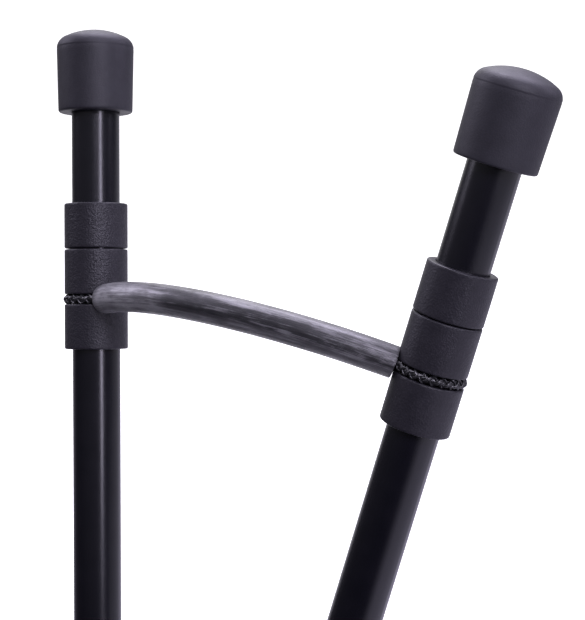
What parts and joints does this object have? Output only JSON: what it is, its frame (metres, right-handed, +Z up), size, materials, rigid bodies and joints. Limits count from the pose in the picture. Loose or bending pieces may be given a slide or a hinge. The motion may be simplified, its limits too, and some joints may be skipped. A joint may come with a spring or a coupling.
{
  "type": "instrument floor stand",
  "caption": "Floor stand for a stringed instrument: V of tubular arms with rubber caps and a hose-padded cord, tilting on a tripod base with swing-in legs.",
  "frame": {"origin": "on the floor, centre of the stand's footprint box", "axes": "+Z up, +X towards the right arm, -Y towards the player"},
  "size_m": [0.5166, 0.4912, 0.7527],
  "materials": {
    "black_paint": "gloss powder coat",
    "black_rubber": "matt",
    "grey_rubber": "satin",
    "black_plastic": "satin moulded",
    "zinc": "zinc plated",
    "chrome_stem": "bright plated",
    "nylon": "satin",
    "brass": "turned",
    "cord": "braided"
  },
  "bodies": {
    "base": {"hub_body": "black_plastic", "stem_bush": "nylon", "guide_screw": "zinc", "leg_bolts": "zinc", "leg_nuts": "zinc", "leg_washers": "zinc", "rear_leg_lug": "black_plastic", "rear_leg_tube": "black_paint", "rear_leg_foot": "black_rubber"},
    "leg_left": {"leg_left_lug": "black_plastic", "leg_left_tube": "black_paint", "leg_left_foot": "black_rubber"},
    "leg_right": {"leg_right_lug": "black_plastic", "leg_right_tube": "black_paint", "leg_right_foot": "black_rubber"},
    "stem": {"stem_tube": "chrome_stem", "stem_head": "black_plastic", "stem_plug": "black_plastic", "tilt_bolt": "zinc", "tilt_washers": "zinc", "cradle_pins": "zinc"},
    "height_knob": {"height_knob_grip": "black_plastic", "height_knob_screw": "zinc"},
    "tilt_knob": {"tilt_knob_grip": "black_plastic", "tilt_knob_insert": "brass"},
    "cradle_left": {"cradle_left_lug": "black_plastic", "cradle_left_tube": "black_paint", "cradle_left_sleeve": "grey_rubber", "cradle_left_tip": "black_rubber"},
    "cradle_right": {"cradle_right_lug": "black_plastic", "cradle_right_tube": "black_paint", "cradle_right_sleeve": "grey_rubber", "cradle_right_tip": "black_rubber"},
    "yoke": {"yoke_block": "black_plastic", "arm_set_screws": "zinc", "arm_left_tube": "black_paint", "arm_right_tube": "black_paint", "arm_left_cap": "black_rubber", "arm_right_cap": "black_rubber", "ring_left_top": "black_rubber", "ring_left_middle": "black_rubber", "ring_left_bottom": "black_rubber", "ring_right_top": "black_rubber", "ring_right_middle": "black_rubber", "ring_right_bottom": "black_rubber", "rest_hose": "grey_rubber", "rest_cord": "cord"}
  },
  "joints": [
    {"name": "leg_left_swing", "type": "hinge", "parent": "base", "child": "leg_left", "pos_m": [-0.03637, -0.06903, 0.17], "axis": [0, 0, -1], "range_deg": [0, 120]},
    {"name": "leg_right_swing", "type": "hinge", "parent": "base", "child": "leg_right", "pos_m": [0.03637, -0.06903, 0.17], "axis": [0, 0, 1], "range_deg": [0, 120]},
    {"name": "stem_height", "type": "slide", "parent": "base", "child": "stem", "axis": [0, 0, 1], "range_m": [0, 0.06]},
    {"name": "height_knob_turn", "type": "hinge", "parent": "base", "child": "height_knob", "pos_m": [0, -0.08803, 0.17], "axis": [0, -1, 0], "range_deg": [0, 360]},
    {"name": "tilt", "type": "hinge", "parent": "stem", "child": "yoke", "pos_m": [0, -0.04803, 0.24], "axis": [-1, 0, 0], "range_deg": [-13, 8]},
    {"name": "tilt_knob_turn", "type": "hinge", "parent": "stem", "child": "tilt_knob", "pos_m": [0.018, -0.04803, 0.24], "axis": [1, 0, 0], "range_deg": [0, 360]},
    {"name": "cradle_left_fold", "type": "hinge", "parent": "stem", "child": "cradle_left", "pos_m": [-0.02216, -0.0764, 0.2152], "axis": [-0.788, 0.6157, 0], "range_deg": [0, 80]},
    {"name": "cradle_right_fold", "type": "hinge", "parent": "stem", "child": "cradle_right", "pos_m": [0.02216, -0.0764, 0.2152], "axis": [-0.788, -0.6157, 0], "range_deg": [0, 80]}
  ]
}
